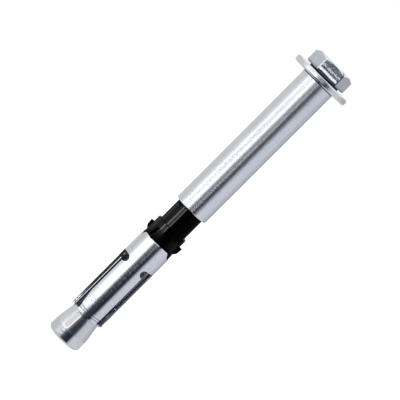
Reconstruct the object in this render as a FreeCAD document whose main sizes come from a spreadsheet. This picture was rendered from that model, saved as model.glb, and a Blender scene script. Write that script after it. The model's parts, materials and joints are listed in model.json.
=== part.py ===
"""Heavy-duty sleeve anchor with a hexagon bolt, standing on its cone.

Z runs up the bolt's axis and every length is in millimetres. Each piece is
drawn in a frame of its own, with its lower face at zero, and is then lifted
to the level of what it sits on. The bolt's frame starts at the face that
bears on the washer, with the shank below it.
"""
import FreeCAD, Part
import math
import os
import Sketcher

SIZES = {
    # cone that is drawn into the sleeve, threaded right through
    "cone_dia": 11.9,
    "cone_length": 18.0,
    "cone_land": 4.26,
    "cone_angle": 9.1,
    "cone_blend": 20.0,
    "cone_neck_wall": 1.03,
    "cone_foot_bevel": 0.65,
    "cone_neck_bevel": 0.3,
    "recess_count": 3,
    "recess_phase": 99.0,
    "recess_level": 7.1,
    "recess_length": 6.45,
    "recess_width": 1.85,
    "recess_depth": 0.3,
    # screw thread, drawn as plain cylinders at its pitch diameter, this deep under the shank's surface
    "thread_depth": 0.43,
    "thread_clearance": 0.05,
    "thread_lead": 0.6,
    "thread_length": 40.0,
    # slotted sleeve that the cone spreads; it sits where its tapered seat meets the cone
    "sleeve_length": 31.88,
    "sleeve_dia": 12.0,
    "neck_clearance": 0.19,
    "sleeve_top_bevel": 0.15,
    "seat_length": 1.56455,
    "mouth_clearance": 0.06,
    "mouth_flat": 0.05,
    "mouth_bevel_height": 0.6,
    "mouth_bevel_depth": 0.85,
    "ring_count": 2,
    "ring_level": 1.72,
    "ring_pitch": 0.78,
    "ring_width": 0.56,
    "ring_depth": 0.15,
    "slot_count": 3,
    "slot_width": 3.2,
    "relief_level": 22.13,
    "relief_width": 2.75,
    "relief_length": 6.44,
    "flare_width": 1.09,
    "flare_low": 1.73,
    "flare_high": 7.49,
    # two tongues of the plastic sleeve in notches of the slotted sleeve
    "tongue_phase": 4.8,
    "notch_depth": 1.6,
    "notch_mouth": 7.55,
    "notch_floor": 4.9,
    "tongue_inset": 0.25,
    "tongue_clearance": 0.06,
    # plastic sleeve that crushes when the bolt is tightened
    "collar_dia": 11.3,
    "collar_length": 6.3,
    "collar_bevel": 0.15,
    "plastic_clearance": 0.15,
    "tube_dia": 9.8,
    "tube_length": 7.92,
    "fin_count": 6,
    "fin_phase": 52.0,
    "fin_root": 0.3,
    "fin_level": 0.4,
    "fin_length": 3.35,
    "fin_ramp": 1.25,
    "fin_shoulder_dia": 13.0,
    "fin_tip_dia": 13.3,
    "fin_point": 0.1,
    "fin_width": 1.05,
    # plain tube through the fixture
    "spacer_length": 55.0,
    "spacer_dia": 11.9,
    "spacer_clearance": 0.3,
    "spacer_bevel": 0.25,
    # washer
    "washer_thickness": 2.0,
    "washer_dia": 20.55,
    "washer_clearance": 0.2,
    "washer_round": 0.55,
    # bolt; the insets and the outset are measured from the flats
    "shank_dia": 8.0,
    "tip_level": 1.0,
    "tip_bevel": 0.9,
    "head_height": 5.45,
    "face_inset": 0.75,
    "face_height": 0.5,
    "across_flats": 13.0,
    "corner_round": 0.2,
    "bevel_outset": 0.45,
    "crown_inset": 0.5,
    "crown_angle": 32.0,
    "head_phase": 3.8,
    # how far a cut runs past the surface that it goes through
    "cut_past": 1.0,
}

# lengths nearer to each other than this count as equal when edges are picked out
CLOSE = 0.01

# where outlines are first drawn, clear of the axis, before their constraints place them
DRAWN_AT = 10.0

# radii from the thread outwards
THREAD = "Sizes.shank_dia / 2 - Sizes.thread_depth"
CONE_BORE = f"{THREAD} + Sizes.thread_clearance"
NECK = f"{CONE_BORE} + Sizes.cone_neck_wall"
SLEEVE_BORE = f"{NECK} + Sizes.neck_clearance"
MOUTH = f"{SLEEVE_BORE} + Sizes.seat_length * tan(Sizes.cone_angle)"

# levels from the cone up to the head
SEAT_TOP = ("Sizes.cone_land + (Sizes.cone_dia / 2 + Sizes.mouth_clearance"
            f" - ({SLEEVE_BORE})) / tan(Sizes.cone_angle)")
SLEEVE_LEVEL = f"{SEAT_TOP} - Sizes.seat_length"
SLEEVE_TOP = f"{SLEEVE_LEVEL} + Sizes.sleeve_length"
COLLAR_TOP = "Sizes.collar_length"
SPACER_LEVEL = f"{SLEEVE_TOP} + Sizes.collar_length + Sizes.tube_length"
WASHER_LEVEL = f"{SPACER_LEVEL} + Sizes.spacer_length"
HEAD_LEVEL = f"{WASHER_LEVEL} + Sizes.washer_thickness"

doc = FreeCAD.newDocument("sleeve_anchor")


def fill_sheet():
    """Put every driving size in the sheet, one row each."""
    sheet = doc.addObject("Spreadsheet::Sheet", "Sizes")
    for row, (name, value) in enumerate(SIZES.items(), start=1):
        sheet.set(f"A{row}", name)
        sheet.set(f"B{row}", str(value))
        sheet.setAlias(f"B{row}", name)
    doc.recompute()


def new_body(name, level="0"):
    """A sub-part whose lower face is lifted to the given level."""
    body = doc.addObject("PartDesign::Body", name)
    body.Label = name
    body.setExpression("Placement.Base.z", level)
    return body


def origin_part(body, role):
    """One of the planes or axes of a body's own origin."""
    for feature in body.Origin.OriginFeatures:
        if feature.Role == role:
            return feature
    raise ValueError(f"no {role} in {body.Label}")


def new_sketch(body, name, plane, turn_axis=None, turn=None):
    """A sketch on an origin plane, turned about one of its own axes if asked."""
    sketch = body.newObject("Sketcher::SketchObject", name)
    sketch.AttachmentSupport = [(origin_part(body, plane), "")]
    sketch.MapMode = "FlatFace"
    if turn is not None:
        one_degree = FreeCAD.Rotation(FreeCAD.Vector(*turn_axis), 1)
        sketch.AttachmentOffset = FreeCAD.Placement(FreeCAD.Vector(), one_degree)
        sketch.setExpression("AttachmentOffset.Rotation.Angle", turn)
    return sketch


def tie_point(sketch, line, corner):
    """Hold the start of a line at a pair of expressions."""
    start = sketch.Geometry[line].StartPoint
    for kind, now, size in (("DistanceX", start.x, corner[0]), ("DistanceY", start.y, corner[1])):
        index = sketch.addConstraint(Sketcher.Constraint(kind, -1, 1, line, 1, now))
        sketch.setExpression(f"Constraints[{index}]", size)


def add_outline(sketch, corners):
    """A closed outline of straight lines through corners given as expressions."""
    first = sketch.GeometryCount
    count = len(corners)
    turns = [2 * math.pi * step / count for step in range(count)]
    rough = [FreeCAD.Vector(DRAWN_AT + math.cos(turn), math.sin(turn), 0) for turn in turns]
    for step in range(count):
        line = Part.LineSegment(rough[step], rough[(step + 1) % count])
        sketch.addGeometry(line, False)
    for step in range(count):
        following = first + (step + 1) % count
        sketch.addConstraint(Sketcher.Constraint("Coincident", first + step, 2, following, 1))
    for step, corner in enumerate(corners):
        tie_point(sketch, first + step, corner)


def add_oblong(sketch, kind, upright):
    """An outline with round ends; its sizes are named by its kind and its middle is over zero."""
    end = SIZES[f"{kind}_width"] / 2
    run = SIZES[f"{kind}_length"] / 2 - end
    middle = SIZES[f"{kind}_level"]
    along = FreeCAD.Vector(0, 1, 0) if upright else FreeCAD.Vector(1, 0, 0)
    across = FreeCAD.Vector(-along.y, along.x, 0)
    centre = FreeCAD.Vector(0, middle, 0)
    ends = (centre + along * run, centre - along * run)
    start = math.atan2(-across.y, -across.x)
    arcs = []
    for place, turn in zip(ends, (start, start + math.pi)):
        circle = Part.Circle(place, FreeCAD.Vector(0, 0, 1), end)
        arcs.append(sketch.addGeometry(Part.ArcOfCircle(circle, turn, turn + math.pi), False))
    sides = []
    for side, (first, last) in ((across, ends), (-across, ends[::-1])):
        line = Part.LineSegment(first + side * end, last + side * end)
        sides.append(sketch.addGeometry(line, False))
    for step in range(2):
        sketch.addConstraint(Sketcher.Constraint("Tangent", arcs[step], 2, sides[step], 1))
        sketch.addConstraint(Sketcher.Constraint("Tangent", sides[step], 2, arcs[1 - step], 1))
    radius = sketch.addConstraint(Sketcher.Constraint("Radius", arcs[0], end))
    sketch.setExpression(f"Constraints[{radius}]", f"Sizes.{kind}_width / 2")
    offset = f"(Sizes.{kind}_length - Sizes.{kind}_width) / 2"
    for arc, place, sign in zip(arcs, ends, ("", "-")):
        over = "0" if upright else f"{sign}{offset}"
        up = f"Sizes.{kind}_level + {sign}{offset}" if upright else f"Sizes.{kind}_level"
        for direction, now, size in (("DistanceX", place.x, over), ("DistanceY", place.y, up)):
            index = sketch.addConstraint(Sketcher.Constraint(direction, -1, 1, arc, 3, now))
            sketch.setExpression(f"Constraints[{index}]", size)


def turned(body, name, corners):
    """Turn an outline of (radius, height) corners about the Z axis."""
    sketch = new_sketch(body, f"{name}_profile", "XZ_Plane")
    add_outline(sketch, corners)
    feature = body.newObject("PartDesign::Revolution", name)
    feature.Profile = sketch
    feature.ReferenceAxis = (sketch, ["V_Axis"])
    feature.Angle = 360
    doc.recompute()
    return feature


def pocket(body, name, sketch, depth, both_sides=False):
    """Cut a sketch out of the body, and make sure that it cut something."""
    before = body.Shape.Volume
    feature = body.newObject("PartDesign::Pocket", name)
    feature.Profile = sketch
    feature.Midplane = both_sides
    feature.setExpression("Length", depth)
    doc.recompute()
    if feature.Shape.Volume >= before:
        raise RuntimeError(f"{name} cuts nothing")
    return feature


def around(body, name, feature, count):
    """Repeat a feature evenly about the Z axis."""
    pattern = body.newObject("PartDesign::PolarPattern", name)
    pattern.Originals = [feature]
    pattern.Axis = (origin_part(body, "Z_Axis"), [""])
    pattern.Angle = 360
    pattern.setExpression("Occurrences", count)
    body.Tip = pattern
    doc.recompute()
    return pattern


def half(size):
    """Expression for half of a named size, which turns a diameter into a radius."""
    return f"Sizes.{size} / 2"


def make_cone_nut():
    """The tapered nut, with a short straight land at its foot and recesses pressed into the taper."""
    body = new_body("cone_nut")
    taper_top = f"Sizes.cone_land + ({half('cone_dia')} - ({NECK})) / tan(Sizes.cone_angle)"
    plain = turned(body, "cone_turned", [
        (f"{CONE_BORE} + Sizes.thread_lead", "0"),
        (f"{half('cone_dia')} - Sizes.cone_foot_bevel", "0"),
        (half("cone_dia"), "Sizes.cone_foot_bevel"),
        (half("cone_dia"), "Sizes.cone_land"),
        (NECK, taper_top),
        (NECK, "Sizes.cone_length - Sizes.cone_neck_bevel"),
        (f"{NECK} - Sizes.cone_neck_bevel", "Sizes.cone_length"),
        (f"{CONE_BORE} + Sizes.thread_lead", "Sizes.cone_length"),
        (CONE_BORE, "Sizes.cone_length - Sizes.thread_lead"),
        (CONE_BORE, "Sizes.thread_lead"),
    ])
    # the land runs over into the taper without an edge
    blends = []
    for number, edge in enumerate(plain.Shape.Edges, start=1):
        level = edge.BoundBox.ZMin
        if abs(level - SIZES["cone_land"]) < CLOSE and edge.BoundBox.ZLength < CLOSE:
            blends.append(f"Edge{number}")
    blend = body.newObject("PartDesign::Fillet", "land_blend")
    blend.Base = (plain, blends)
    blend.setExpression("Radius", "Sizes.cone_blend")
    doc.recompute()
    # long recesses pressed into the taper, their floors parallel to its slope
    sketch = new_sketch(body, "recess_outline", "XZ_Plane", (-1, 0, 0), "Sizes.cone_angle")
    sketch.setExpression("AttachmentOffset.Base.z",
                         f"{half('cone_dia')} + Sizes.cone_land * tan(Sizes.cone_angle)")
    add_oblong(sketch, "recess", upright=True)
    recess = pocket(body, "recess", sketch, "Sizes.recess_depth")
    around(body, "recesses", recess, "Sizes.recess_count")
    body.setExpression("Placement.Rotation.Angle", "Sizes.recess_phase")
    return body


def make_expansion_sleeve():
    """The slotted sleeve, ringed near its mouth and notched across its top."""
    body = new_body("expansion_sleeve", SLEEVE_LEVEL)
    outer = half("sleeve_dia")
    top = "Sizes.sleeve_length"
    # the mouth's bevel leaves a narrow flat on the wall's lower end
    bevel = f"min(Sizes.mouth_bevel_depth; {outer} - ({MOUTH}) - Sizes.mouth_flat)"
    corners = [
        (MOUTH, "0"),
        (f"{outer} - {bevel}", "0"),
        (outer, "Sizes.mouth_bevel_height"),
    ]
    for ring in range(SIZES["ring_count"]):
        middle = f"Sizes.ring_level + {ring} * Sizes.ring_pitch"
        floor = f"{outer} - Sizes.ring_depth"
        corners += [
            (outer, f"{middle} - Sizes.ring_width / 2"),
            (floor, f"{middle} - Sizes.ring_width / 2 + Sizes.ring_depth"),
            (floor, f"{middle} + Sizes.ring_width / 2 - Sizes.ring_depth"),
            (outer, f"{middle} + Sizes.ring_width / 2"),
        ]
    corners += [
        (outer, f"{top} - Sizes.sleeve_top_bevel"),
        (f"{outer} - Sizes.sleeve_top_bevel", top),
        (SLEEVE_BORE, top),
        (SLEEVE_BORE, "Sizes.seat_length"),
    ]
    turned(body, "sleeve_turned", corners)

    # one slot from the mouth up to a cross slot, flared on one side at the mouth
    side = half("slot_width")
    flared = f"{side} + Sizes.flare_width"
    below = "-Sizes.cut_past"
    through = f"{outer} + Sizes.cut_past"
    sketch = new_sketch(body, "slot_outline", "XZ_Plane")
    add_outline(sketch, [
        (side, below),
        (side, "Sizes.relief_level"),
        (f"-({side})", "Sizes.relief_level"),
        (f"-({side})", "Sizes.flare_high"),
        (f"-({flared})", "Sizes.flare_low"),
        (f"-({flared})", below),
    ])
    slot = pocket(body, "slot", sketch, through)
    around(body, "slots", slot, "Sizes.slot_count")
    sketch = new_sketch(body, "relief_outline", "XZ_Plane")
    add_oblong(sketch, "relief", upright=False)
    relief = pocket(body, "relief", sketch, through)
    around(body, "reliefs", relief, "Sizes.slot_count")

    # trapezoid notches for the tongues, across both sides of the top
    sketch = new_sketch(body, "notch_outline", "YZ_Plane", (0, -1, 0), "Sizes.tongue_phase")
    add_outline(sketch, notch_corners("Sizes.sleeve_length", "0", above="Sizes.cut_past"))
    pocket(body, "notches", sketch, "2 * Sizes.sleeve_dia", both_sides=True)
    return body


def notch_corners(edge, shrink, above):
    """The trapezoid of a notch under the given edge, or of a tongue that is smaller all round."""
    mouth = f"{half('notch_mouth')} - {shrink}"
    floor = f"{half('notch_floor')} - {shrink}"
    foot = f"{edge} - Sizes.notch_depth + {shrink}"
    slope = "(Sizes.notch_mouth - Sizes.notch_floor) / 2 / Sizes.notch_depth"
    wide = f"{mouth} + {above} * {slope}"
    return [
        (f"-({wide})", f"{edge} + {above}"),
        (f"-({floor})", foot),
        (floor, foot),
        (wide, f"{edge} + {above}"),
    ]


def make_collapsible_sleeve():
    """The plastic sleeve: two tongues, a collar with barbed fins, and the tube that gives way."""
    body = new_body("collapsible_sleeve", SLEEVE_TOP)
    bore = f"{half('shank_dia')} + Sizes.plastic_clearance"
    skirt = f"{half('sleeve_dia')} - Sizes.tongue_inset"
    collar = half("collar_dia")
    tube = half("tube_dia")
    foot = "-(Sizes.notch_depth - Sizes.tongue_clearance)"
    top = f"{COLLAR_TOP} + Sizes.tube_length"
    turned(body, "plastic_turned", [
        (bore, foot),
        (skirt, foot),
        (skirt, "0"),
        (collar, "0"),
        (collar, f"{COLLAR_TOP} - Sizes.collar_bevel"),
        (f"{collar} - Sizes.collar_bevel", COLLAR_TOP),
        (tube, COLLAR_TOP),
        (tube, top),
        (bore, top),
    ])
    # everything below the collar goes, apart from the two tongues
    sketch = new_sketch(body, "tongue_outline", "YZ_Plane", (0, -1, 0), "Sizes.tongue_phase")
    wide = "Sizes.sleeve_dia"
    deep = "-2 * Sizes.notch_depth"
    tongue = notch_corners("0", "Sizes.tongue_clearance", above="0")
    around_it = [(f"-{wide}", "0"), (f"-{wide}", deep), (wide, deep), (wide, "0")]
    add_outline(sketch, around_it + tongue[::-1])
    pocket(body, "tongues", sketch, "2 * Sizes.sleeve_dia", both_sides=True)

    # barbed fins, each lofted from a point at its lower end to a square shoulder
    grow = "(Sizes.fin_width - Sizes.fin_point) / Sizes.fin_length"
    sections = (
        ("point", "0", collar, "Sizes.fin_point"),
        ("shoulder", "Sizes.fin_ramp", half("fin_shoulder_dia"),
         f"Sizes.fin_point + {grow} * Sizes.fin_ramp"),
        ("tip", "Sizes.fin_length", half("fin_tip_dia"), "Sizes.fin_width"),
    )
    outlines = []
    for name, height, reach, width in sections:
        sketch = new_sketch(body, f"fin_{name}", "XY_Plane", (0, 0, 1), "Sizes.fin_phase")
        sketch.setExpression("AttachmentOffset.Base.z", f"Sizes.fin_level + {height}")
        root = f"{collar} - Sizes.fin_root"
        side = f"({width}) / 2"
        add_outline(sketch, [(root, f"-{side}"), (reach, f"-{side}"), (reach, side), (root, side)])
        outlines.append(sketch)
    doc.recompute()
    fin = body.newObject("PartDesign::AdditiveLoft", "fin")
    fin.Profile = outlines[0]
    fin.Sections = outlines[1:]
    fin.Ruled = True
    doc.recompute()
    around(body, "fins", fin, "Sizes.fin_count")
    return body


def make_spacer_sleeve():
    """The plain tube through the fixture."""
    body = new_body("spacer_sleeve", SPACER_LEVEL)
    outer = half("spacer_dia")
    bore = f"{half('shank_dia')} + Sizes.spacer_clearance"
    bevel = "Sizes.spacer_bevel"
    turned(body, "spacer_turned", [
        (f"{bore} + {bevel}", "0"),
        (f"{outer} - {bevel}", "0"),
        (outer, bevel),
        (outer, f"Sizes.spacer_length - {bevel}"),
        (f"{outer} - {bevel}", "Sizes.spacer_length"),
        (f"{bore} + {bevel}", "Sizes.spacer_length"),
        (bore, f"Sizes.spacer_length - {bevel}"),
        (bore, bevel),
    ])
    return body


def make_washer():
    """The washer, its outer rims rounded by stamping and tumbling."""
    body = new_body("washer", WASHER_LEVEL)
    outer = half("washer_dia")
    bore = f"{half('shank_dia')} + Sizes.washer_clearance"
    plain = turned(body, "washer_turned", [
        (bore, "0"),
        (outer, "0"),
        (outer, "Sizes.washer_thickness"),
        (bore, "Sizes.washer_thickness"),
    ])
    rims = []
    for number, edge in enumerate(plain.Shape.Edges, start=1):
        if isinstance(edge.Curve, Part.Circle) and edge.Curve.Radius > SIZES["washer_dia"] / 2 - CLOSE:
            rims.append(f"Edge{number}")
    rounding = body.newObject("PartDesign::Fillet", "washer_rims")
    rounding.Base = (plain, rims)
    rounding.setExpression("Radius", "Sizes.washer_round")
    doc.recompute()
    return body


def make_hex_bolt():
    """The bolt: a shank, a round bearing face and a hexagon whose corners are turned off at both ends."""
    body = new_body("hex_bolt", HEAD_LEVEL)
    shank = half("shank_dia")
    face = f"{half('across_flats')} - Sizes.face_inset"
    tip = f"Sizes.tip_level - ({HEAD_LEVEL})"
    turned(body, "shank_and_face", [
        ("0", tip),
        (f"{THREAD} - Sizes.tip_bevel", tip),
        (THREAD, f"{tip} + Sizes.tip_bevel"),
        (THREAD, f"{tip} + Sizes.thread_length"),
        (shank, f"{tip} + Sizes.thread_length + Sizes.thread_depth"),
        (shank, "0"),
        (face, "0"),
        (face, "Sizes.head_height / 2"),
        ("0", "Sizes.head_height / 2"),
    ])
    sketch = new_sketch(body, "hexagon", "XY_Plane", (0, 0, 1), "Sizes.head_phase")
    sketch.setExpression("AttachmentOffset.Base.z", "Sizes.face_height")
    corner = "Sizes.across_flats / sqrt(3)"
    turns = range(0, 360, 60)
    add_outline(sketch, [(f"{corner} * cos({turn})", f"{corner} * sin({turn})") for turn in turns])
    hexagon = body.newObject("PartDesign::Pad", "hexagon_prism")
    hexagon.Profile = sketch
    hexagon.setExpression("Length", "Sizes.head_height - Sizes.face_height")
    doc.recompute()
    corners = []
    for number, edge in enumerate(hexagon.Shape.Edges, start=1):
        flat = isinstance(edge.Curve, Part.Line)
        upright = flat and edge.BoundBox.XLength < CLOSE and edge.BoundBox.YLength < CLOSE
        if upright and edge.BoundBox.ZLength > SIZES["head_height"] / 2:
            corners.append(f"Edge{number}")
    rounding = body.newObject("PartDesign::Fillet", "hexagon_corners")
    rounding.Base = (hexagon, corners)
    rounding.setExpression("Radius", "Sizes.corner_round")
    doc.recompute()
    # the corners are turned off above and below the flats
    far = "Sizes.across_flats"
    slope = "tan(Sizes.crown_angle)"
    bevels = (("crown", f"{half('across_flats')} - Sizes.crown_inset", "Sizes.head_height", "-"),
              ("seat", f"{half('across_flats')} + Sizes.bevel_outset", "Sizes.face_height", "+"))
    for name, start, level, way in bevels:
        sketch = new_sketch(body, f"{name}_outline", "XZ_Plane")
        add_outline(sketch, [
            (start, level),
            (far, level),
            (far, f"{level} {way} ({far} - ({start})) * {slope}"),
        ])
        before = body.Shape.Volume
        groove = body.newObject("PartDesign::Groove", f"{name}_bevel")
        groove.Profile = sketch
        groove.ReferenceAxis = (sketch, ["V_Axis"])
        groove.Angle = 360
        doc.recompute()
        if groove.Shape.Volume >= before:
            raise RuntimeError(f"{name}_bevel cuts nothing")
    return body


for make in (fill_sheet, make_cone_nut, make_expansion_sleeve, make_collapsible_sleeve,
             make_spacer_sleeve, make_washer, make_hex_bolt):
    make()

os.makedirs("parts", exist_ok=True)
for item in doc.Objects:
    if "Invalid" in item.State or "Error" in item.State:
        raise RuntimeError(f"{item.Label} failed: {item.State}")
for body in doc.findObjects("PartDesign::Body"):
    if body.Shape.isNull() or not body.Shape.isValid():
        raise RuntimeError(f"{body.Label} has no valid shape")
    body.Shape.exportStep(f"parts/{body.Label}.step")
    print(f"{body.Label}: {body.Shape.Volume:.1f} mm3")
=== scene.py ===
"""Studio picture of a heavy-duty sleeve anchor that stands on its cone."""
import bpy
import json
import math
from mathutils import Matrix, Vector


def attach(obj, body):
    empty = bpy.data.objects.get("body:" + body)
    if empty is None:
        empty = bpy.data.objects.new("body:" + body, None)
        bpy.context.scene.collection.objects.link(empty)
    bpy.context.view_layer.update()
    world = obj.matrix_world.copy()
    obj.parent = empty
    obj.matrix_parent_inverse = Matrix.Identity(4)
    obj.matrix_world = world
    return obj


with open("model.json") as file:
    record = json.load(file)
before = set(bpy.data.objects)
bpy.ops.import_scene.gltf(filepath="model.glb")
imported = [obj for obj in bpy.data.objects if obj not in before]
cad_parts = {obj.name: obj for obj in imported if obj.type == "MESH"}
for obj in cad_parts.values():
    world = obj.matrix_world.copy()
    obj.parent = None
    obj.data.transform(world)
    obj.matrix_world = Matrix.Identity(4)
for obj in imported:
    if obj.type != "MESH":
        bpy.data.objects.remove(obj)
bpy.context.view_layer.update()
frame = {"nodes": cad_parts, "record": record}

MM = 0.001

# where the photograph is taken from; lengths are in metres, but the sensor's width is in millimetres
TARGET = Vector((-0.20 * MM, 0.0, 60.17 * MM))
ELEVATION = math.radians(5.1)
ROLL = math.radians(45.0)
FRAME_WIDTH = 122.3 * MM
DISTANCE = 0.66
SENSOR = 36.0


# nodes

def node_math(tree, operation, *values):
    """A math node over sockets or plain numbers."""
    node = tree.nodes.new("ShaderNodeMath")
    node.operation = operation
    for place, value in enumerate(values):
        if isinstance(value, (int, float)):
            node.inputs[place].default_value = value
        else:
            tree.links.new(value, node.inputs[place])
    return node.outputs[0]


def node_range(tree, value, low, high, to_low=0.0, to_high=1.0, kind="LINEAR"):
    """Map a socket from one range to another, held at both ends."""
    node = tree.nodes.new("ShaderNodeMapRange")
    node.interpolation_type = kind
    tree.links.new(value, node.inputs["Value"])
    for name, number in (("From Min", low), ("From Max", high), ("To Min", to_low), ("To Max", to_high)):
        node.inputs[name].default_value = number
    return node.outputs["Result"]


def node_mix(tree, factor, first, second, blend="MIX"):
    """Mix two colours, each a socket or a plain colour."""
    node = tree.nodes.new("ShaderNodeMix")
    node.data_type = "RGBA"
    node.blend_type = blend
    for socket, value in ((0, factor), (6, first), (7, second)):
        if isinstance(value, (int, float)):
            node.inputs[socket].default_value = value
        elif isinstance(value, tuple):
            node.inputs[socket].default_value = (*value, 1.0)
        else:
            tree.links.new(value, node.inputs[socket])
    return node.outputs[2]


def vector_math(tree, operation, *values):
    """A vector math node over sockets or plain vectors; a number's socket counts for all three parts."""
    node = tree.nodes.new("ShaderNodeVectorMath")
    node.operation = operation
    for place, value in enumerate(values):
        if isinstance(value, tuple):
            node.inputs[place].default_value = value
        else:
            tree.links.new(value, node.inputs[place])
    return node.outputs[0]


def parts(tree, vector):
    """The three parts of a vector socket."""
    node = tree.nodes.new("ShaderNodeSeparateXYZ")
    tree.links.new(vector, node.inputs[0])
    return [node.outputs[axis] for axis in "XYZ"]


# scene

def add_camera():
    """A long lens, a little above the middle of the anchor, with the horizon turned by half a right angle."""
    data = bpy.data.cameras.new("camera")
    data.sensor_width = SENSOR
    data.lens = SENSOR * DISTANCE / FRAME_WIDTH
    data.clip_start = 0.1
    data.clip_end = 50.0
    camera = bpy.data.objects.new("camera", data)
    bpy.context.scene.collection.objects.link(camera)
    away = Vector((0.0, -math.cos(ELEVATION), math.sin(ELEVATION)))
    level = Vector((1.0, 0.0, 0.0))
    upright = away.cross(level)
    right = level * math.cos(ROLL) + upright * math.sin(ROLL)
    up = away.cross(right)
    turn = Matrix((right, up, away)).transposed().to_4x4()
    camera.matrix_world = Matrix.Translation(TARGET + away * DISTANCE) @ turn
    bpy.context.scene.camera = camera


# what the surfaces mirror, by the compass direction in degrees from the camera towards +X:
# level with the slotted sleeve, with the spacer, and with the washer and head, then near the floor and
# above level
SLEEVE_LEVEL = (
    (-180, (0.62, 0.63, 0.65)),
    (-156, (0.76, 0.77, 0.78)),
    (-136, (0.64, 0.65, 0.67)),
    (-111, (0.55, 0.57, 0.59)),
    (-92, (0.63, 0.64, 0.66)),
    (-76, (0.80, 0.81, 0.83)),
    (-64, (1.25, 1.25, 1.26)),
    (-54, (1.90, 1.90, 1.90)),
    (-24, (1.90, 1.90, 1.90)),
    (-18, (0.85, 0.86, 0.87)),
    (-13, (0.34, 0.35, 0.37)),
    (-7, (0.13, 0.14, 0.16)),
    (-1, (0.04, 0.045, 0.06)),
    (8, (0.018, 0.022, 0.036)),
    (26, (0.012, 0.016, 0.03)),
    (32, (0.05, 0.06, 0.08)),
    (36, (0.24, 0.25, 0.29)),
    (42, (0.52, 0.54, 0.60)),
    (50, (0.65, 0.69, 0.77)),
    (92, (0.65, 0.68, 0.75)),
    (120, (0.50, 0.52, 0.56)),
    (150, (0.40, 0.41, 0.43)),
    (180, (0.62, 0.63, 0.65)),
)
UPPER_LEVEL = (
    (-180, (0.62, 0.63, 0.65)),
    (-156, (0.70, 0.71, 0.73)),
    (-136, (0.64, 0.66, 0.68)),
    (-111, (0.64, 0.66, 0.69)),
    (-92, (0.68, 0.70, 0.73)),
    (-78, (0.82, 0.84, 0.87)),
    (-68, (1.25, 1.26, 1.28)),
    (-60, (1.35, 1.36, 1.38)),
    (-54, (0.66, 0.67, 0.70)),
    (-35, (0.60, 0.61, 0.64)),
    (-31, (1.10, 1.11, 1.12)),
    (-26, (1.75, 1.75, 1.76)),
    (-21, (1.45, 1.45, 1.46)),
    (-16, (0.64, 0.65, 0.67)),
    (-7, (0.36, 0.37, 0.39)),
    (1, (0.32, 0.33, 0.35)),
    (6, (0.66, 0.67, 0.69)),
    (12, (0.66, 0.67, 0.69)),
    (17, (0.14, 0.145, 0.16)),
    (24, (0.09, 0.095, 0.11)),
    (33, (0.11, 0.115, 0.13)),
    (40, (0.27, 0.28, 0.31)),
    (50, (0.57, 0.60, 0.65)),
    (62, (0.64, 0.67, 0.73)),
    (92, (0.63, 0.66, 0.72)),
    (120, (0.50, 0.52, 0.56)),
    (150, (0.40, 0.41, 0.43)),
    (180, (0.62, 0.63, 0.65)),
)
TOP_LEVEL = (
    (-180, (0.62, 0.63, 0.65)),
    (-136, (0.62, 0.64, 0.66)),
    (-111, (0.63, 0.65, 0.69)),
    (-92, (0.68, 0.69, 0.71)),
    (-76, (0.84, 0.85, 0.87)),
    (-63, (1.18, 1.19, 1.21)),
    (-46, (1.32, 1.33, 1.35)),
    (-24, (1.30, 1.31, 1.33)),
    (-17, (0.92, 0.93, 0.95)),
    (-8, (0.42, 0.43, 0.45)),
    (3, (0.32, 0.33, 0.36)),
    (10, (0.17, 0.18, 0.21)),
    (16, (0.08, 0.09, 0.12)),
    (26, (0.10, 0.11, 0.14)),
    (35, (0.27, 0.28, 0.31)),
    (46, (0.40, 0.42, 0.46)),
    (57, (0.60, 0.62, 0.66)),
    (92, (0.63, 0.64, 0.67)),
    (120, (0.47, 0.49, 0.52)),
    (150, (0.40, 0.41, 0.43)),
    (180, (0.62, 0.63, 0.65)),
)
BELOW = (
    (-180, (0.60, 0.60, 0.59)),
    (-100, (0.61, 0.61, 0.61)),
    (-62, (0.60, 0.60, 0.60)),
    (-50, (0.46, 0.47, 0.49)),
    (-34, (0.34, 0.35, 0.37)),
    (-26, (0.11, 0.12, 0.14)),
    (-20, (0.05, 0.06, 0.08)),
    (-12, (0.04, 0.05, 0.07)),
    (-3, (0.045, 0.05, 0.075)),
    (6, (0.024, 0.028, 0.045)),
    (28, (0.020, 0.023, 0.034)),
    (34, (0.10, 0.105, 0.12)),
    (42, (0.44, 0.45, 0.47)),
    (50, (0.65, 0.66, 0.67)),
    (100, (0.66, 0.66, 0.67)),
    (180, (0.60, 0.60, 0.59)),
)
ABOVE = (
    (-180, (0.62, 0.64, 0.66)),
    (-90, (0.60, 0.62, 0.65)),
    (-76, (0.76, 0.77, 0.78)),
    (-62, (1.05, 1.05, 1.06)),
    (-46, (0.86, 0.86, 0.87)),
    (-28, (0.90, 0.90, 0.91)),
    (-19, (0.42, 0.43, 0.45)),
    (-10, (0.15, 0.16, 0.18)),
    (0, (0.05, 0.055, 0.07)),
    (14, (0.034, 0.038, 0.05)),
    (30, (0.038, 0.042, 0.055)),
    (38, (0.19, 0.20, 0.23)),
    (48, (0.56, 0.59, 0.65)),
    (90, (0.60, 0.63, 0.69)),
    (127, (0.44, 0.46, 0.50)),
    (180, (0.62, 0.64, 0.66)),
)
# the dark card in front: its middle, half its width and its soft edge in compass degrees
CARD_MIDDLE = 12.0
CARD_HALF = 27.0
CARD_EDGE = 5.0
# the gap of light across the card, and the ceiling
GAP_COLOUR = (1.25, 1.32, 1.4)
SKY_COLOUR = (0.96, 0.97, 1.0)
# where one part of the surroundings gives way to the next, in degrees above level
FLOOR_RISE = (-9.1, -9.7)
UPPER_RISE = (-6.1, -5.5)
TOP_RISE = (-1.4, -1.0)
SKY_RISE = (2, 6)
GAP_RISE = (13, 15)
GAP_END = (23, 21)
CEILING_RISE = (24, 34)
CARD_END = (70, 60)


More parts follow.
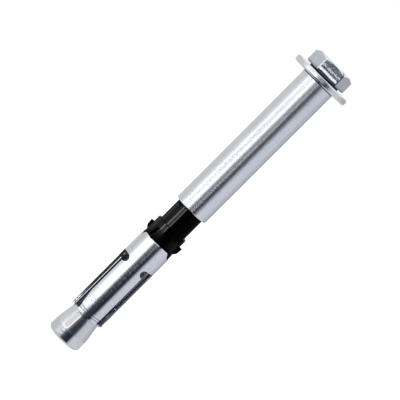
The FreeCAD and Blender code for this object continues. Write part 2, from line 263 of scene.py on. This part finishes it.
def compass_ramp(tree, stops, compass):
    """A colour ramp over the whole compass."""
    ramp = tree.nodes.new("ShaderNodeValToRGB")
    elements = ramp.color_ramp.elements
    while len(elements) < len(stops):
        elements.new(0.5)
    for element, (degrees, colour) in zip(elements, stops):
        element.position = (degrees + 180) / 360
        element.color = (*colour, 1.0)
    tree.links.new(node_range(tree, compass, -180, 180), ramp.inputs["Fac"])
    return ramp.outputs["Color"]


def add_world():
    """Soft studio surroundings, brighter to the left, with a dark card in front, and white for the camera."""
    world = bpy.data.worlds.new("studio")
    bpy.context.scene.world = world
    world.use_nodes = True
    tree = world.node_tree
    tree.nodes.clear()
    across, onward, upward = parts(tree, tree.nodes.new("ShaderNodeTexCoord").outputs["Generated"])
    front = node_math(tree, "MULTIPLY", onward, -1.0)
    rise = node_math(tree, "MULTIPLY", node_math(tree, "ARCSINE", upward), 180 / math.pi)
    compass = node_math(tree, "MULTIPLY", node_math(tree, "ARCTAN2", across, front), 180 / math.pi)
    sleeve, upper, top, below, above = [
        compass_ramp(tree, stops, compass)
        for stops in (SLEEVE_LEVEL, UPPER_LEVEL, TOP_LEVEL, BELOW, ABOVE)
    ]
    level = node_mix(tree, node_range(tree, rise, *UPPER_RISE), sleeve, upper)
    level = node_mix(tree, node_range(tree, rise, *TOP_RISE), level, top)
    # the dark card in front reaches far up, with a gap of light across it
    beside = node_math(tree, "ABSOLUTE", node_math(tree, "SUBTRACT", compass, CARD_MIDDLE))
    card = node_range(tree, beside, CARD_HALF, CARD_HALF - CARD_EDGE, kind="SMOOTHSTEP")
    gap = node_math(tree, "MULTIPLY", node_range(tree, rise, *GAP_RISE), node_range(tree, rise, *GAP_END))
    above = node_mix(tree, node_math(tree, "MULTIPLY", gap, card), above, GAP_COLOUR)
    ceiling = node_math(tree, "SUBTRACT", node_range(tree, rise, *CEILING_RISE, kind="SMOOTHSTEP"),
                        node_math(tree, "MULTIPLY", card, node_range(tree, rise, *CARD_END)))
    sky = node_mix(tree, node_math(tree, "MAXIMUM", ceiling, 0.0), above, SKY_COLOUR)
    up = node_range(tree, rise, *SKY_RISE, kind="SMOOTHSTEP")
    down = node_range(tree, rise, *FLOOR_RISE, kind="SMOOTHSTEP")
    colour = node_mix(tree, down, node_mix(tree, up, level, sky), below)
    studio = tree.nodes.new("ShaderNodeBackground")
    tree.links.new(colour, studio.inputs["Color"])
    white = tree.nodes.new("ShaderNodeBackground")
    white.inputs["Color"].default_value = (1.0, 1.0, 1.0, 1.0)
    ray = tree.nodes.new("ShaderNodeLightPath")
    mix = tree.nodes.new("ShaderNodeMixShader")
    tree.links.new(ray.outputs["Is Camera Ray"], mix.inputs["Fac"])
    tree.links.new(studio.outputs[0], mix.inputs[1])
    tree.links.new(white.outputs[0], mix.inputs[2])
    out = tree.nodes.new("ShaderNodeOutputWorld")
    tree.links.new(mix.outputs[0], out.inputs["Surface"])


# the lamps beside the plastic sleeve: the compass direction and half their reach in degrees, their lower and
# upper end in millimetres, and their brightness; two narrow ones are the edges of a softer one
LAMPS = (
    ("lamp_back", -87, 21, 42.3, 54.0, 3.6),
    ("lamp_side", -56, 9, 42.0, 54.4, 6.0),
    ("lamp_first_edge", -41, 3, 44.7, 54.8, 84.0),
    ("lamp_between", -30, 8, 44.7, 54.8, 17.0),
    ("lamp_second_edge", -19, 3, 44.7, 54.8, 46.0),
    ("lamp_foot", 66, 36, 41.7, 44.7, 1.8),
)
# how far the lamps stand from the axis, in millimetres
LAMP_REACH = 14.0
# this many watts a square metre make an area lamp as bright as white
LAMP_WATTS = 4.0


def add_lamps():
    """Small lamps level with what the plastic sleeve mirrors, which light its gloss and nothing else."""
    lit = bpy.data.collections.new("lit_by_lamps")
    lit.objects.link(frame["nodes"]["collapsible_sleeve"])
    for name, degrees, half, low, high, level in LAMPS:
        data = bpy.data.lights.new(name, "AREA")
        data.shape = "RECTANGLE"
        data.size = 2 * LAMP_REACH * MM * math.sin(math.radians(half))
        data.size_y = (high - low) * MM
        data.energy = LAMP_WATTS * level * data.size * data.size_y
        lamp = bpy.data.objects.new(name, data)
        bpy.context.scene.collection.objects.link(lamp)
        turn = math.radians(degrees)
        side = LAMP_REACH * MM
        lamp.location = (side * math.sin(turn), -side * math.cos(turn), (low + high) / 2 * MM)
        lamp.rotation_euler = (math.radians(90), 0.0, turn)
        lamp.visible_camera = False
        lamp.visible_diffuse = False
        lamp.visible_transmission = False
        lamp.light_linking.receiver_collection = lit


# half the floor's side in metres, its colour, and how much it glows for the camera alone, to look white
FLOOR_HALF = 8.0
FLOOR_COLOUR = (0.9, 0.9, 0.9, 1.0)
FLOOR_GLOW = 0.75


def add_floor():
    """A wide pale floor that keeps the anchor's shadow."""
    mesh = bpy.data.meshes.new("floor")
    corners = [(x * FLOOR_HALF, y * FLOOR_HALF, 0) for x, y in ((-1, -1), (1, -1), (1, 1), (-1, 1))]
    mesh.from_pydata(corners, [], [(0, 1, 2, 3)])
    floor = bpy.data.objects.new("floor", mesh)
    bpy.context.scene.collection.objects.link(floor)
    floor.visible_glossy = False
    material = bpy.data.materials.new("pale_floor")
    material.use_nodes = True
    tree = material.node_tree
    tree.nodes.clear()
    matt = tree.nodes.new("ShaderNodeBsdfDiffuse")
    matt.inputs["Color"].default_value = FLOOR_COLOUR
    glow = tree.nodes.new("ShaderNodeEmission")
    glow.inputs["Color"].default_value = (1.0, 1.0, 1.0, 1.0)
    glow.inputs["Strength"].default_value = FLOOR_GLOW
    both = tree.nodes.new("ShaderNodeAddShader")
    tree.links.new(matt.outputs[0], both.inputs[0])
    tree.links.new(glow.outputs[0], both.inputs[1])
    ray = tree.nodes.new("ShaderNodeLightPath")
    mix = tree.nodes.new("ShaderNodeMixShader")
    tree.links.new(ray.outputs["Is Camera Ray"], mix.inputs["Fac"])
    tree.links.new(matt.outputs[0], mix.inputs[1])
    tree.links.new(both.outputs[0], mix.inputs[2])
    out = tree.nodes.new("ShaderNodeOutputMaterial")
    tree.links.new(mix.outputs[0], out.inputs["Surface"])
    mesh.materials.append(material)


# materials

class Surface:
    """A new material, with its node tree and shader and the sockets that its other nodes start from."""

    def __init__(self, name):
        self.material = bpy.data.materials.new(name)
        self.material.use_nodes = True
        self.tree = self.material.node_tree
        self.shader = self.tree.nodes["Principled BSDF"]
        coordinates = self.tree.nodes.new("ShaderNodeTexCoord")
        self.where = coordinates.outputs["Object"]
        self.own_normal = coordinates.outputs["Normal"]
        geometry = self.tree.nodes.new("ShaderNodeNewGeometry")
        self.normal = geometry.outputs["Normal"]
        self.true_normal = geometry.outputs["True Normal"]
        # the sides, the height and the distance from the axis are in millimetres
        self.x, self.y, self.height = parts(
            self.tree, vector_math(self.tree, "MULTIPLY", self.where, (1 / MM, 1 / MM, 1 / MM))
        )
        squares = [node_math(self.tree, "MULTIPLY", side, side) for side in (self.x, self.y)]
        self.radius = node_math(self.tree, "SQRT", node_math(self.tree, "ADD", *squares))


def noise(surface, size, stretch=(1.0, 1.0, 1.0), detail=2.0, rough=0.5):
    """Noise whose grain is about the given size in millimetres, stretched along the axes."""
    place = surface.tree.nodes.new("ShaderNodeMapping")
    place.inputs["Scale"].default_value = [1.0 / (size * MM * part) for part in stretch]
    surface.tree.links.new(surface.where, place.inputs["Vector"])
    node = surface.tree.nodes.new("ShaderNodeTexNoise")
    node.inputs["Scale"].default_value = 1.0
    node.inputs["Detail"].default_value = detail
    node.inputs["Roughness"].default_value = rough
    surface.tree.links.new(place.outputs[0], node.inputs["Vector"])
    return node.outputs["Fac"]


def bump(tree, height, depth, normal=None):
    """A bump of the given depth in millimetres, on top of another normal if one is given."""
    node = tree.nodes.new("ShaderNodeBump")
    node.inputs["Distance"].default_value = depth * MM
    tree.links.new(height, node.inputs["Height"])
    if normal is not None:
        tree.links.new(normal, node.inputs["Normal"])
    return node.outputs[0]


def band(tree, value, low, high, soft):
    """One between low and high, nought outside, with soft edges."""
    rise = node_range(tree, value, low - soft, low + soft)
    fall = node_range(tree, value, high + soft, high - soft)
    return node_math(tree, "MULTIPLY", rise, fall)


def tilted(surface, upward=None, outward=None):
    """The surface's normal, leant upward and outward from the axis by the given amounts."""
    tree = surface.tree
    normal = surface.normal
    if upward is not None:
        lean = tree.nodes.new("ShaderNodeCombineXYZ")
        tree.links.new(upward, lean.inputs["Z"])
        normal = vector_math(tree, "ADD", normal, lean.outputs[0])
    if outward is not None:
        level = vector_math(tree, "MULTIPLY", surface.where, (1.0, 1.0, 0.0))
        level = vector_math(tree, "NORMALIZE", level)
        normal = vector_math(tree, "ADD", normal, vector_math(tree, "MULTIPLY", level, outward))
    return vector_math(tree, "NORMALIZE", normal)


# bright zinc plate is blue white and straw, with grey specks; the steel inside and between the pieces is
# rougher and less metallic, and painted dark as shade
BLUE_WHITE = (0.80, 0.83, 0.88)
STRAW = (0.85, 0.855, 0.86)
SPECK = (0.30, 0.34, 0.40)
DULL_SHADE_DARK = (0.03, 0.045, 0.065)
DULL_SHADE_PALE = (0.16, 0.20, 0.26)
BLACK = (0.0, 0.0, 0.0)
HIDDEN_METALLIC = 0.25
HIDDEN_ROUGHNESS = 0.45
PLATE_ROUGHNESS = (0.06, 0.10)
# the grain in millimetres of the clouds of tint, of the specks, and of the fine lines round the axis
CLOUD_GRAIN = 3.0
CLOUD_STRETCH = (1.0, 1.0, 2.0)
SPECK_GRAIN = 0.8
LINE_GRAIN = 0.14
LINE_STRETCH = (60.0, 60.0, 1.0)
# between which values of the noise each of these comes in, and how much the specks cover at most
STRAW_RANGE = (0.38, 0.62)
SPECK_RANGE = (0.25, 0.45)
SPECK_SHARE = 0.45
DULL_SHADE_RANGE = (0.35, 0.65)
ROUGH_RANGE = (0.3, 0.7)
# over how many millimetres the plate gives way to the painted shade inside the skin radius, and how soft the
# edges of a covered band of painted shade are
SKIN_EDGE = 0.05
COVERED_EDGE = 0.12
# a face whose normal rises further than this is a flat top, which isn't covered with painted shade
FLAT_TOP = 0.95


def zinc_tint(tree, clouds, grain, shade):
    """The colour of bright zinc plate."""
    tint = node_mix(tree, node_range(tree, clouds, *STRAW_RANGE), BLUE_WHITE, STRAW)
    tint = node_mix(tree, node_range(tree, grain, *SPECK_RANGE, SPECK_SHARE, 0.0), tint, SPECK)
    return node_mix(tree, 1.0, tint, (shade, shade, shade), "MULTIPLY")


def zinc_material(name, skin, shade=1.0, covered=(), lines=0.005, mottle=0.03, detail=None):
    """Bright zinc plate outside the skin radius, and dull steel painted dark as shade inside it and where it
    is covered.
    """
    surface = Surface(name)
    tree = surface.tree
    shader = surface.shader
    clouds = noise(surface, CLOUD_GRAIN, CLOUD_STRETCH, 3.0)
    grain = noise(surface, SPECK_GRAIN, detail=4.0, rough=0.7)
    tint = zinc_tint(tree, clouds, grain, shade)
    # inside the skin radius the plate gives way to dull steel painted dark as shade
    inside = node_range(tree, surface.radius, skin - SKIN_EDGE, skin, 1.0, 0.0)
    dull_painted_shading = node_mix(tree, node_range(tree, grain, *DULL_SHADE_RANGE), DULL_SHADE_DARK, DULL_SHADE_PALE)
    upward = None
    outward = None
    if detail is not None:
        tint, inside, dull_painted_shading, upward, outward = detail(surface, grain, tint, inside, dull_painted_shading)
    tint = node_mix(tree, inside, tint, dull_painted_shading)
    # the covered bands are painted shade, between black and the band's colour by the grain
    for low, high, colour in covered:
        side = node_math(tree, "LESS_THAN", parts(tree, surface.own_normal)[2], FLAT_TOP)
        there = node_math(tree, "MULTIPLY", side, band(tree, surface.height, low, high, COVERED_EDGE))
        tint = node_mix(tree, there, tint, node_mix(tree, grain, BLACK, colour))
        inside = node_math(tree, "MAXIMUM", inside, there)
    tree.links.new(tint, shader.inputs["Base Color"])
    tree.links.new(node_range(tree, inside, 0, 1, 1.0, HIDDEN_METALLIC), shader.inputs["Metallic"])
    rough = node_range(tree, clouds, *ROUGH_RANGE, *PLATE_ROUGHNESS)
    rough = node_math(tree, "MAXIMUM", rough, node_math(tree, "MULTIPLY", inside, HIDDEN_ROUGHNESS))
    tree.links.new(rough, shader.inputs["Roughness"])
    # fine lines round the axis, and mottle on top of them
    fine = noise(surface, LINE_GRAIN, LINE_STRETCH)
    normal = bump(tree, fine, lines, tilted(surface, upward, outward))
    normal = bump(tree, grain, mottle, normal)
    tree.links.new(normal, shader.inputs["Normal"])
    return surface.material


# the slotted sleeve's radii in millimetres, each from nought to full: its bore, the burr on the slots' inner
# edge, their bright outer edge, and the part of their walls that is worn
BORE = (4.9, 4.86)
BURR = (5.25, 5.1)
OUTER_EDGE = (5.5, 5.62)
WORN_WALL = (5.25, 5.5)
# its heights in millimetres, in the same way: where the bevelled mouth ends, and down to where the slots'
# walls are flared and worn; then the step above the flare
MOUTH_BEVEL = (10.62, 10.7)
FLARED = (17.5, 15.0)
WORN = (18.5, 13.0)
STEP = (17.8, 18.1)
STEP_EDGE = 0.05
# how far the outer edge and the flared walls lean outward
OUTER_LEAN = 0.9
FLARED_LEAN = 0.85
# between which values of the noise the flare and the wear come in
FLARED_RANGE = (0.4, 0.6)
WORN_RANGE = (0.25, 0.45)
WALL_COLOUR = (0.46, 0.50, 0.56)
# the bore goes from dark to lit between these distances along +X, in millimetres
LIT_SIDE = (2.0, 4.0)
BORE_DARK = (0.01, 0.015, 0.02)
BORE_LIT = (0.92, 0.94, 0.96)
# the two grooves near the mouth: the heights between which they lie, and the radii of their floor and of the
# skin, in millimetres; then how far their walls lean, and from which slope on they are walls
GROOVES = (11.4, 12.82)
GROOVE_EDGE = 0.01
GROOVE_FLOOR = (5.83, 5.84)
GROOVE_SKIN = (5.995, 5.985)
# the painted shade on the grooves' floors and lower walls
GROOVE_SHADE_COLOUR = (0.5, 0.52, 0.56)
UPPER_LEAN = 1.35
LOWER_LEAN = 0.72
WALL_SLOPE = 0.3


def slotted_sleeve(surface, grain, tint, inside, dull_painted_shading):
    """The cut walls of the slots, the bore behind them, and the grooves near the mouth."""
    tree = surface.tree
    inside = node_math(tree, "MULTIPLY", inside, node_range(tree, surface.height, *MOUTH_BEVEL))
    lit, bore, worn = slot_walls(surface, grain)
    outward = node_math(tree, "MULTIPLY", lit, inside)
    dimmed = node_math(tree, "SUBTRACT", inside, node_math(tree, "MULTIPLY", worn, inside))
    tint = node_mix(tree, dimmed, tint, WALL_COLOUR)
    deep = node_mix(tree, node_range(tree, surface.x, *LIT_SIDE), BORE_DARK, BORE_LIT)
    dull_painted_shading = node_mix(tree, bore, dull_painted_shading, deep)
    tint, upward = ring_grooves(surface, tint)
    return tint, node_math(tree, "SUBTRACT", inside, outward), dull_painted_shading, upward, outward


def slot_walls(surface, grain):
    """How far the slots' cut walls lean outward to the light, where the bore is, and where they are worn."""
    tree = surface.tree
    height = surface.height
    radius = surface.radius
    turned = parts(tree, vector_math(tree, "CROSS_PRODUCT", surface.where, surface.true_normal))[2]
    onward = node_math(tree, "GREATER_THAN", turned, 0.0)
    backward = node_math(tree, "SUBTRACT", 1.0, onward)
    burr = node_math(tree, "MULTIPLY", onward, node_range(tree, radius, *BURR))
    outer = node_math(tree, "MULTIPLY", backward, node_range(tree, radius, *OUTER_EDGE, 0.0, OUTER_LEAN))
    mouth = node_math(tree, "MULTIPLY", node_range(tree, height, *FLARED, 0.0, FLARED_LEAN),
                      node_range(tree, grain, *FLARED_RANGE))
    step = node_math(tree, "MULTIPLY", backward, band(tree, height, *STEP, STEP_EDGE))
    worn = node_math(tree, "MULTIPLY", onward, node_range(tree, height, *WORN))
    worn = node_math(tree, "MULTIPLY", worn, node_range(tree, radius, *WORN_WALL))
    worn = node_math(tree, "MULTIPLY", worn, node_range(tree, grain, *WORN_RANGE))
    lit = node_math(tree, "ADD", burr, outer)
    for more in (mouth, step, worn):
        lit = node_math(tree, "MAXIMUM", lit, more)
    bore = node_range(tree, radius, *BORE)
    return node_math(tree, "MULTIPLY", lit, node_math(tree, "SUBTRACT", 1.0, bore)), bore, worn


def ring_grooves(surface, tint):
    """The grooves near the mouth: floors and lower walls painted dark as shade, lower walls turned down, and
    upper walls turned up.
    """
    tree = surface.tree
    slope = parts(tree, surface.true_normal)[2]
    there = node_math(tree, "MULTIPLY", band(tree, surface.height, *GROOVES, GROOVE_EDGE),
                      node_range(tree, surface.radius, *GROOVE_SKIN))
    there = node_math(tree, "MULTIPLY", there, node_range(tree, surface.radius, *GROOVE_FLOOR))
    lower = node_math(tree, "MULTIPLY", there, node_math(tree, "GREATER_THAN", slope, WALL_SLOPE))
    upper = node_math(tree, "MULTIPLY", there, node_math(tree, "LESS_THAN", slope, -WALL_SLOPE))
    # painted shade on the floors and lower walls
    tint = node_mix(tree, node_math(tree, "SUBTRACT", there, upper), tint, GROOVE_SHADE_COLOUR)
    lean = node_math(tree, "SUBTRACT", node_math(tree, "MULTIPLY", upper, UPPER_LEAN),
                     node_math(tree, "MULTIPLY", lower, LOWER_LEAN))
    return tint, lean


# below this height, in millimetres, the shank inside the skin radius is painted dark as shade; from it up the
# bolt is plated right across
SHANK_SHADE_TOP = 60.0
# the head, in degrees from +X: one of its corners, and the corner that is painted dark as a dark reflection,
# with half its width
HEAD_PHASE = 3.8
DARK_CORNER = -56.2
DARK_HALF = (2.2, 1.4)
DARK_REFLECTION_COLOUR = (0.10, 0.11, 0.14)
# the heights in millimetres of its foot, which is painted dark as shade beside the washer, of the two bright
# streaks, and where the mottle begins
FACET_FOOT = (113.5, 114.3)
FIRST_STREAK = (114.3, 115.2)
SECOND_STREAK = (115.75, 116.65)
MOTTLED = (115.2, 115.6)
# how ragged and how soft these are, in millimetres
RAGGED = 0.5
STREAK_EDGE = 0.09
# the painted shade at the facets' foot, and how much of it covers the plate
FOOT_SHADE_COLOUR = (0.42, 0.48, 0.57)
FOOT_SHADE_SHARE = 0.8
# the mottle's grain in millimetres, and the values of the noise between which it comes in
MOTTLE_GRAIN = 0.36
MOTTLE_RANGE = (0.42, 0.64)
# how far the foot leans down, the streaks and the mottle lean up, and the worn corners lean out
FOOT_LEAN = 0.085
FIRST_LEAN = 0.155
SECOND_LEAN = 0.12
MOTTLE_LEAN = 0.125
CORNER_LEAN = 2.0
# what sixfold gives beside a worn corner and across a facet, each from nought to full, and how far at most
# an upright face's normal rises or falls
CORNER_RANGE = (0.982, 0.99)
FACET_RANGE = (-0.95, -0.98)
UPRIGHT = 0.1


def bolt_head(surface, grain, tint, inside, dull_painted_shading):
    """The shank, painted dark as shade low down and plated above, and the head's forged facets with worn
    corners.
    """
    tree = surface.tree
    # the shank is painted dark as shade only below this height, where the sleeves hide it
    inside = node_math(tree, "MULTIPLY", inside,
                       node_math(tree, "LESS_THAN", surface.height, SHANK_SHADE_TOP))
    tint, upward = forged_facets(surface, grain, tint)
    return tint, inside, dull_painted_shading, upward, worn_corners(surface)


def direction(surface, vector):
    """The direction of a vector round the axis, in radians from +X."""
    across, onward, _ = parts(surface.tree, vector)
    return node_math(surface.tree, "ARCTAN2", onward, across)


def sixfold(surface, vector):
    """One where a vector points to a corner of the head, minus one where it points between two."""
    tree = surface.tree
    turn = node_math(tree, "SUBTRACT", direction(surface, vector), math.radians(HEAD_PHASE))
    return node_math(tree, "COSINE", node_math(tree, "MULTIPLY", turn, 6.0))


def worn_corners(surface):
    """How far the surface beside the head's upright corners is rounded outward."""
    tree = surface.tree
    near = node_range(tree, sixfold(surface, surface.where), *CORNER_RANGE)
    slope = node_math(tree, "ABSOLUTE", parts(tree, surface.own_normal)[2])
    upright = node_math(tree, "LESS_THAN", slope, UPRIGHT)
    return node_math(tree, "MULTIPLY", node_math(tree, "MULTIPLY", near, upright), CORNER_LEAN)


def forged_facets(surface, grain, tint):
    """The head's facets: their colour with painted shade at the foot and a painted dark reflection at one
    corner, and how far their streaks and mottle lean.
    """
    tree = surface.tree
    height = surface.height
    flat = node_range(tree, sixfold(surface, surface.own_normal), *FACET_RANGE)
    ragged = node_math(tree, "MULTIPLY_ADD", grain, RAGGED,
                       node_math(tree, "SUBTRACT", height, RAGGED / 2))
    foot, first, second = [band(tree, ragged, *heights, STREAK_EDGE)
                           for heights in (FACET_FOOT, FIRST_STREAK, SECOND_STREAK)]
    spots = noise(surface, MOTTLE_GRAIN, detail=3.0, rough=0.7)
    spots = node_range(tree, spots, *MOTTLE_RANGE, 0.0, MOTTLE_LEAN)
    spots = node_math(tree, "MULTIPLY", spots, node_range(tree, height, *MOTTLED))
    streaks = node_math(tree, "ADD", node_math(tree, "MULTIPLY", first, FIRST_LEAN),
                        node_math(tree, "MULTIPLY", second, SECOND_LEAN))
    lean = node_math(tree, "MAXIMUM", streaks, spots)
    lean = node_math(tree, "SUBTRACT", lean, node_math(tree, "MULTIPLY", foot, FOOT_LEAN))
    lean = node_math(tree, "MULTIPLY", lean, flat)
    # painted shade at the foot of the facets
    tint = node_mix(tree, node_math(tree, "MULTIPLY", foot, FOOT_SHADE_SHARE), tint, FOOT_SHADE_COLOUR)
    # a painted dark reflection along one upright corner
    turn = node_math(tree, "SUBTRACT", direction(surface, surface.where), math.radians(DARK_CORNER))
    dark = node_range(tree, node_math(tree, "ABSOLUTE", turn), *map(math.radians, DARK_HALF))
    # the flat top has no dark corner
    below_top = node_math(tree, "LESS_THAN", parts(tree, surface.own_normal)[2], FLAT_TOP)
    return node_mix(tree, node_math(tree, "MULTIPLY", dark, below_top), tint, DARK_REFLECTION_COLOUR), lean


# the cone's pressed recesses: the direction of one of them in degrees from +X, and in millimetres their
# middle's height, half their straight run, half their width and its soft edge, and half the width of their
# rim, which carries a painted highlight, and its soft edge
RECESS_TURN = 9.0
RECESS_MIDDLE = 7.1
RECESS_RUN = 2.3
RECESS_HALF = 0.925
RECESS_EDGE = 0.1
RIM_HALF = 0.24
RIM_EDGE = 0.06
# the rim's painted highlight and how far the rim leans up, and the painted shade on the recess floor
RIM_HIGHLIGHT_COLOUR = (1.0, 1.0, 1.0)
RIM_LEAN = 0.32
RECESS_SHADE_COLOUR = (0.75, 0.75, 0.76)
# in millimetres, where the cone's land ends, how far its rounded edge reaches, and the heights between which
# the normal is set anew, with their soft edge; then how far the taper's normal rises, and how far at most the
# normal of a face that is set anew rises or falls
EDGE_LEVEL = 3.9
EDGE_HALF = 0.08
EDGE_BAND = (2.3, 5.6)
EDGE_SOFT = 0.1
TAPER_RISE = 0.155
STEEPEST = 0.2


def pressed_recesses(surface, grain, tint, inside, dull_painted_shading):
    """The cone's recesses, with painted shade on their floors and a painted highlight on their rims, and the
    rounded edge between its land and its taper.
    """
    tree = surface.tree
    height = surface.height
    # the three recesses are a third of a turn apart
    sixth = math.pi / 3
    turn = node_math(tree, "SUBTRACT", direction(surface, surface.where), math.radians(RECESS_TURN))
    turn = node_math(tree, "WRAP", turn, sixth, -sixth)
    across = node_math(tree, "ABSOLUTE", node_math(tree, "MULTIPLY", turn, surface.radius))
    along = node_math(tree, "ABSOLUTE", node_math(tree, "SUBTRACT", height, RECESS_MIDDLE))
    past = node_math(tree, "MAXIMUM", node_math(tree, "SUBTRACT", along, RECESS_RUN), 0.0)
    squares = [node_math(tree, "MULTIPLY", side, side) for side in (across, past)]
    reach = node_math(tree, "SQRT", node_math(tree, "ADD", *squares))
    rim = band(tree, reach, RECESS_HALF - RIM_HALF, RECESS_HALF + RIM_HALF, RIM_EDGE)
    floor = node_range(tree, reach, RECESS_HALF, RECESS_HALF - RECESS_EDGE)
    # painted shade on the recess floors, and a painted highlight on their rims
    tint = node_mix(tree, floor, tint, RECESS_SHADE_COLOUR)
    tint = node_mix(tree, rim, tint, RIM_HIGHLIGHT_COLOUR)
    slope = parts(tree, surface.normal)[2]
    wanted = node_range(tree, height, EDGE_LEVEL - EDGE_HALF, EDGE_LEVEL + EDGE_HALF, 0.0, TAPER_RISE)
    shallow = node_math(tree, "LESS_THAN", node_math(tree, "ABSOLUTE", slope), STEEPEST)
    edge = node_math(tree, "MULTIPLY", shallow, band(tree, height, *EDGE_BAND, EDGE_SOFT))
    turned = node_math(tree, "MULTIPLY", edge, node_math(tree, "SUBTRACT", wanted, slope))
    upward = node_math(tree, "ADD", turned, node_math(tree, "MULTIPLY", rim, RIM_LEAN))
    return tint, inside, dull_painted_shading, upward, None


# the plastic's two blacks, the grain in millimetres of their clouds, and how strongly the plastic mirrors
PLASTIC_DARK = (0.0003, 0.0003, 0.0004)
PLASTIC_PALE = (0.0008, 0.0008, 0.0008)
PALE_GRAIN = 2.0
PALE_RANGE = (0.35, 0.65)
PLASTIC_SPECULAR = 0.02
# the grain and the depth of its uneven skin, in millimetres
SKIN_GRAIN = 0.4
SKIN_DEPTH = 0.004
# how rough it is level with the fins and above them, and the heights of their upper end in millimetres
FIN_ROUGHNESS = 0.30
TUBE_ROUGHNESS = 0.09
FIN_END = (45.2, 45.6)


def plastic_material():
    """Black moulded plastic, less glossy level with the fins, which grip the drill hole."""
    surface = Surface("black_plastic")
    tree = surface.tree
    shader = surface.shader
    clouds = noise(surface, PALE_GRAIN, detail=3.0)
    tint = node_mix(tree, node_range(tree, clouds, *PALE_RANGE), PLASTIC_DARK, PLASTIC_PALE)
    tree.links.new(tint, shader.inputs["Base Color"])
    shader.inputs["Specular IOR Level"].default_value = PLASTIC_SPECULAR
    rough = node_range(tree, surface.height, *FIN_END, FIN_ROUGHNESS, TUBE_ROUGHNESS)
    tree.links.new(rough, shader.inputs["Roughness"])
    grain = noise(surface, SKIN_GRAIN, detail=3.0)
    tree.links.new(bump(tree, grain, SKIN_DEPTH), shader.inputs["Normal"])
    return surface.material


# thread

# in millimetres: the crest drops a little over its half width to each side, and the flanks end at the root
THREAD_PITCH = 1.25
THREAD_ROOT = 3.5
THREAD_CREST = 3.99
CREST_DROP = 0.03
CREST_HALF = 0.10
ROOT_HALF = 0.36
THREAD_LOW = 1.4
THREAD_HIGH = 40.4
# how many steps make one turn
THREAD_STEPS = 40


def add_thread():
    """The bolt's right-hand thread, a ridge that winds round the plain CAD cylinder."""
    shoulder = THREAD_CREST - CREST_DROP
    section = ((-ROOT_HALF, THREAD_ROOT), (-CREST_HALF, shoulder), (0.0, THREAD_CREST),
               (CREST_HALF, shoulder), (ROOT_HALF, THREAD_ROOT))
    turns = (THREAD_HIGH - THREAD_LOW) / THREAD_PITCH
    count = int(turns * THREAD_STEPS)
    points = []
    faces = []
    for step in range(count + 1):
        angle = 2 * math.pi * step / THREAD_STEPS
        middle = THREAD_LOW + THREAD_PITCH * step / THREAD_STEPS
        # the ridge runs out gradually at both ends
        fade = min(1.0, step / THREAD_STEPS, (count - step) / THREAD_STEPS)
        for rise, reach in section:
            reach = THREAD_ROOT + (reach - THREAD_ROOT) * fade
            points.append((reach * math.cos(angle) * MM, reach * math.sin(angle) * MM, (middle + rise) * MM))
    wide = len(section)
    for step in range(count):
        for side in range(wide - 1):
            a = step * wide + side
            faces.append((a, a + wide, a + wide + 1, a + 1))
        faces.append((step * wide + wide - 1, (step + 1) * wide + wide - 1, (step + 1) * wide, step * wide))
    last = count * wide
    faces.append(tuple(range(wide)))
    faces.append(tuple(last + side for side in reversed(range(wide))))
    mesh = bpy.data.meshes.new("bolt_thread")
    mesh.from_pydata(points, [], faces)
    mesh.shade_smooth()
    thread = bpy.data.objects.new("bolt_thread", mesh)
    bpy.context.scene.collection.objects.link(thread)
    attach(thread, "bolt")
    return thread


# how each steel node's plate differs: the skin radius and the heights of its covered bands, which are painted
# shade, are in millimetres
# the painted shade of the covered bands: a shadow, and a slate-blue shade on the cone inside the slotted
# sleeve
SHADOW = (0.02, 0.025, 0.035)
SLATE_SHADE = (0.05, 0.09, 0.15)
ZINC = {
    "hex_bolt": {"skin": 4.4, "shade": 0.92, "covered": ((113.0, 113.75, SHADOW),), "detail": bolt_head},
    "washer": {"skin": 4.6},
    "spacer_sleeve": {"skin": 5.2, "covered": ((110.75, 111.5, SHADOW),)},
    "expansion_sleeve": {"skin": 5.83, "mottle": 0.015, "detail": slotted_sleeve},
    "cone_nut": {"skin": 4.2, "covered": ((10.7, 18.5, SLATE_SHADE), (11.1, 12.1, SHADOW)), "lines": 0.001,
                 "mottle": 0.012, "detail": pressed_recesses},
}

add_camera()
add_world()
add_floor()
add_lamps()
plastic = plastic_material()
for subpart in frame["record"]["subparts"]:
    name = subpart["node"]
    materials = frame["nodes"][name].data.materials
    materials.clear()
    if subpart["material_slot"] == "black_plastic":
        materials.append(plastic)
    else:
        materials.append(zinc_material(f"zinc_{name}", **ZINC[name]))
thread = add_thread()
thread.data.materials.append(frame["nodes"]["hex_bolt"].data.materials[0])

bpy.context.scene.view_settings.view_transform = "Standard"
